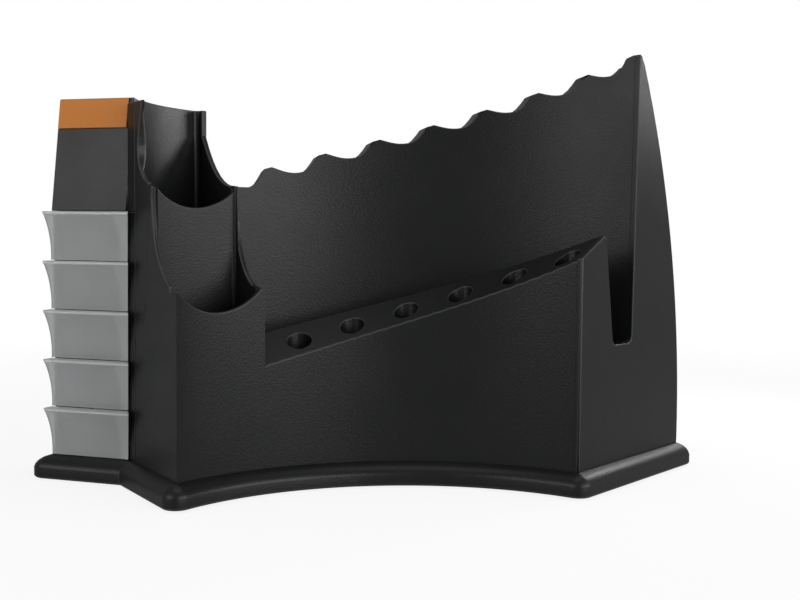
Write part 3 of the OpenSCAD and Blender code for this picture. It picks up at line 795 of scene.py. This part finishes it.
def places(node):
    """Middles of the lowest faces of a CAD node's separate solids."""
    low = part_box(node)[0].z
    groups = []
    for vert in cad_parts[node].data.vertices:
        if vert.co.z < low + MERGE:
            group = next((g for g in groups if (g[0] - vert.co).length < FIXING_SPAN), None)
            if group is None:
                groups.append(group := [])
            group.append(vert.co.copy())
    return [Vector([(min(axis) + max(axis)) / 2 for axis in zip(*group)]) for group in groups]


class RACK_OT_fixings(bpy.types.Operator):
    """Makes the feet and the screws under the plinth"""

    bl_idname = "rack.fixings"
    bl_label = "Feet and screws"

    def execute(self, context):
        found = finishes(context.scene.rack_colours)
        for node, name, slot, finish, sizes, shape in FIXINGS:
            points = bpy.data.meshes.new(name)
            points.from_pydata(places(node), [], [])
            obj = new_object(name, points)
            tree = fixing_tree(name, sizes, shape)
            modifier = obj.modifiers.new("fixings", "NODES")
            modifier.node_group = tree
            for socket in tree.interface.items_tree:
                if socket.in_out == "INPUT" and socket.name == "Finish":
                    modifier[socket.identifier] = found[finish]
                elif socket.in_out == "INPUT" and socket.name != "Places":
                    modifier[socket.identifier] = dict(sizes)[socket.name]
            made = evaluated(obj)
            for face in made.polygons:
                face.use_smooth = True
            made.set_sharp_from_angle(angle=EDGE_ANGLE)
            finish_piece(obj, made, found[finish], HOUSING, slot, node)
        return {"FINISHED"}


def soft_lamp(name, turn, lift, distance, size, power):
    """A soft light that faces the part, turned to the right of the front and lifted, both in degrees."""
    lamp = bpy.data.lights.new(name, "AREA")
    lamp.shape = "RECTANGLE"
    lamp.size, lamp.size_y = size
    lamp.energy = power
    obj = new_object(name, lamp)
    turn, lift = math.radians(turn), math.radians(lift)
    away = Vector((math.cos(lift) * math.sin(turn), -math.cos(lift) * math.cos(turn), math.sin(lift)))
    obj.location = AIM + away * distance
    obj.rotation_euler = (-away).to_track_quat("-Z", "Y").to_euler()
    obj.visible_camera = False
    return obj


def direct_rays(tree):
    """1 for rays that see the background itself: from the camera and through clear plastic."""
    path = add(tree, "ShaderNodeLightPath")
    return maths(tree, "MAXIMUM", path.outputs["Is Camera Ray"], path.outputs["Is Transmission Ray"])


def seen_rays(tree):
    """1 for rays that show the background, in reflections too."""
    path = add(tree, "ShaderNodeLightPath")
    return maths(tree, "MAXIMUM", direct_rays(tree), path.outputs["Is Glossy Ray"])


class RACK_OT_stage(bpy.types.Operator):
    """Makes the floor, the soft studio light and the camera"""

    bl_idname = "rack.stage"
    bl_label = "Stage"

    def execute(self, context):
        scene, stage = context.scene, context.scene.rack_stage
        scene.view_settings.view_transform = "Standard"
        self.floor(stage)
        self.room(scene, stage)
        for *lamp, power in LAMPS:
            soft_lamp(*lamp, getattr(stage, power))
        self.camera(scene, stage)
        return {"FINISHED"}

    def floor(self, stage):
        """A white floor that keeps the part's soft shadow near it."""
        bm = bmesh.new()
        bmesh.ops.create_grid(bm, x_segments=1, y_segments=1, size=FLOOR_HALF)
        mesh = bpy.data.meshes.new("floor")
        bm.to_mesh(mesh)
        bm.free()
        pale = bpy.data.materials.new("pale_floor")
        pale.use_nodes = True
        tree = pale.node_tree
        tree.nodes.clear()
        lit = add(tree, "ShaderNodeBsdfDiffuse")
        lit.inputs["Color"].default_value = (FLOOR_TONE, FLOOR_TONE, FLOOR_TONE, 1)
        glow = add(tree, "ShaderNodeEmission")
        place = add(tree, "ShaderNodeTexCoord")
        reach = add(tree, "ShaderNodeVectorMath", operation="LENGTH")
        fade = add(tree, "ShaderNodeMapRange", interpolation_type="SMOOTHSTEP")
        for socket, value in FLOOR_FADE.items():
            fade.inputs[socket].default_value = value
        mix = add(tree, "ShaderNodeMixShader")
        end = add(tree, "ShaderNodeOutputMaterial")
        tree.links.new(maths(tree, "MAXIMUM", direct_rays(tree), stage.table), glow.inputs["Strength"])
        tree.links.new(place.outputs["Object"], reach.inputs[0])
        tree.links.new(reach.outputs["Value"], fade.inputs["Value"])
        tree.links.new(maths(tree, "MULTIPLY", seen_rays(tree), fade.outputs[0]), mix.inputs[0])
        tree.links.new(lit.outputs[0], mix.inputs[1])
        tree.links.new(glow.outputs[0], mix.inputs[2])
        tree.links.new(mix.outputs[0], end.inputs["Surface"])
        mesh.materials.append(pale)
        new_object("floor", mesh)

    def room(self, scene, stage):
        """White where it is seen, with the studio's dark sides in reflections and a plain ambient light."""
        world = bpy.data.worlds.new("studio")
        world.use_nodes = True
        scene.world = world
        tree = world.node_tree
        tree.nodes.clear()
        seen = add(tree, "ShaderNodeBackground")
        seen.inputs["Color"].default_value = (1, 1, 1, 1)
        dim = add(tree, "ShaderNodeBackground")
        dim.inputs["Color"].default_value = (1, 1, 1, 1)
        dim.inputs["Strength"].default_value = stage.ambient
        tree.links.new(maths(tree, "MAXIMUM", direct_rays(tree), stage.sides), seen.inputs["Strength"])
        mix = add(tree, "ShaderNodeMixShader")
        end = add(tree, "ShaderNodeOutputWorld")
        tree.links.new(seen_rays(tree), mix.inputs[0])
        tree.links.new(dim.outputs[0], mix.inputs[1])
        tree.links.new(seen.outputs[0], mix.inputs[2])
        tree.links.new(mix.outputs[0], end.inputs["Surface"])

    def camera(self, scene, stage):
        """The camera of the main view."""
        lens = bpy.data.cameras.new("camera")
        lens.lens, lens.sensor_width = stage.lens, SENSOR
        lens.clip_start, lens.clip_end = CLIP
        sin_h, cos_h = math.sin(stage.heading), math.cos(stage.heading)
        ahead = Vector((math.cos(stage.pitch) * sin_h, math.cos(stage.pitch) * cos_h, -math.sin(stage.pitch)))
        right = Vector((cos_h, -sin_h, 0))
        up = right.cross(ahead)
        aside = math.cos(stage.roll) * right + math.sin(stage.roll) * up
        above = math.cos(stage.roll) * up - math.sin(stage.roll) * right
        obj = new_object("camera", lens)
        facing = Matrix((aside, above, -ahead)).transposed().to_4x4()
        obj.matrix_world = Matrix.Translation(stage.camera_place) @ facing
        scene.camera = obj


class RACK_PT_panel(bpy.types.Panel):
    """Lists the settings and the buttons that make the pieces"""

    bl_idname = "RACK_PT_panel"
    bl_label = "Brush rack"
    bl_space_type = "VIEW_3D"
    bl_region_type = "UI"
    bl_category = "Brush rack"

    def draw(self, context):
        for group in (context.scene.rack_sizes, context.scene.rack_colours, context.scene.rack_stage):
            box = self.layout.box()
            for key in group.__annotations__:
                box.prop(group, key)
        for operator in OPERATORS:
            self.layout.operator(operator.bl_idname)


GROUPS = {"rack_sizes": RackSizes, "rack_colours": RackColours, "rack_stage": RackStage}
OPERATORS = (RACK_OT_moulded_body, RACK_OT_drawers, RACK_OT_label, RACK_OT_fixings, RACK_OT_stage)


def register():
    for cls in (*GROUPS.values(), *OPERATORS, RACK_PT_panel):
        bpy.utils.register_class(cls)
    for name, group in GROUPS.items():
        setattr(bpy.types.Scene, name, bpy.props.PointerProperty(type=group))


def unregister():
    for name in GROUPS:
        delattr(bpy.types.Scene, name)
    for cls in (RACK_PT_panel, *OPERATORS, *GROUPS.values()):
        bpy.utils.unregister_class(cls)


def main():
    register()
    bpy.ops.rack.moulded_body()
    bpy.ops.rack.drawers()
    bpy.ops.rack.label()
    bpy.ops.rack.fixings()
    bpy.ops.rack.stage()
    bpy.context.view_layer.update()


if __name__ == "__main__":
    main()
